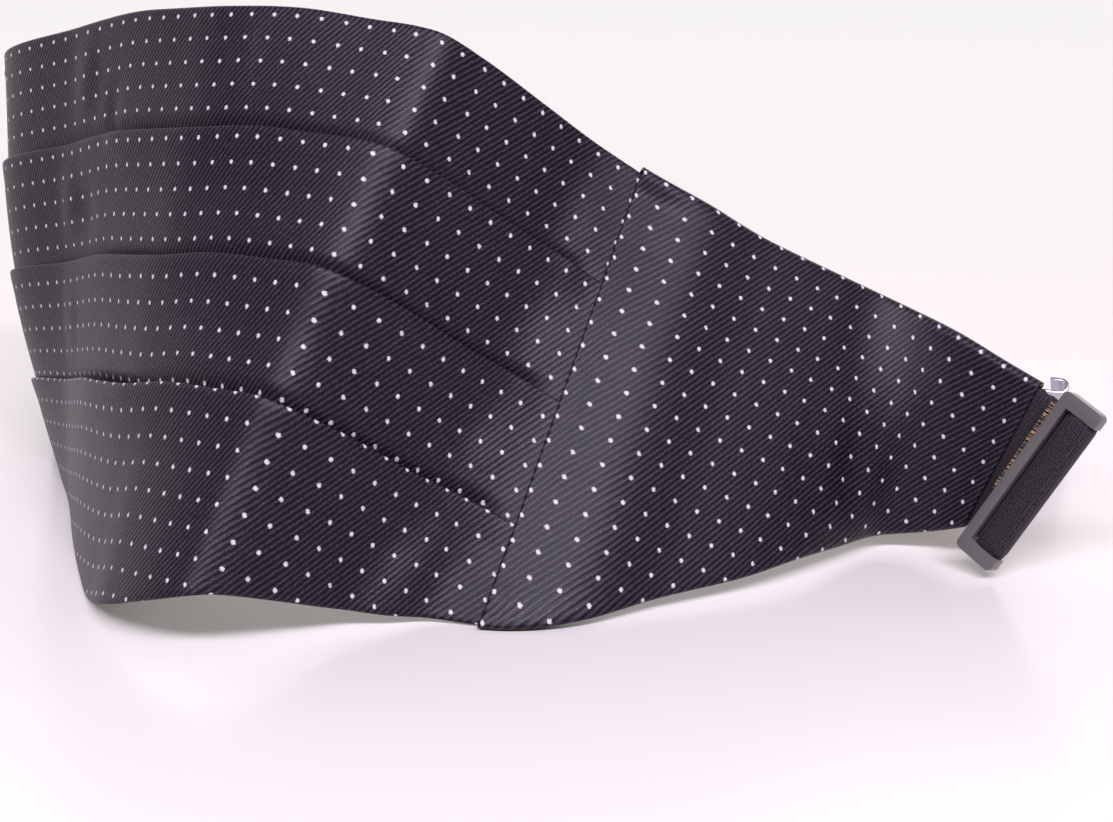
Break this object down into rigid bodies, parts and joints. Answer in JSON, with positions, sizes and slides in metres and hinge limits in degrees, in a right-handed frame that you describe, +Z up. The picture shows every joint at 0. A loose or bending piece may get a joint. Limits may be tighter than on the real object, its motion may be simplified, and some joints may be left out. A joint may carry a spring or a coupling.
{
  "type": "cummerbund",
  "caption": "Pleated pin-dot cummerbund standing on its lower edge, bent in a U, with tapered side panels, a slide buckle on one end and a hook strap on the other.",
  "frame": {"origin": "on the table, under the middle of the whole thing's box", "axes": "+X from the bend towards the buckle, +Y from the near half to the hidden half, +Z up"},
  "size_m": [0.274, 0.2206, 0.112],
  "materials": {
    "dotted_cloth": "dark twill with woven white pin dots, soft sheen",
    "black_webbing": "matt woven strap",
    "grey_plastic": "semi-gloss moulded plastic",
    "bright_metal": "bright plated metal"
  },
  "bodies": {
    "root": {"pleated_front": "dotted_cloth", "right_side_panel": "dotted_cloth", "left_side_panel": "dotted_cloth", "buckle": "grey_plastic", "right_strap": "black_webbing", "left_strap": "black_webbing", "hook_clasp": "bright_metal"}
  },
  "joints": []
}
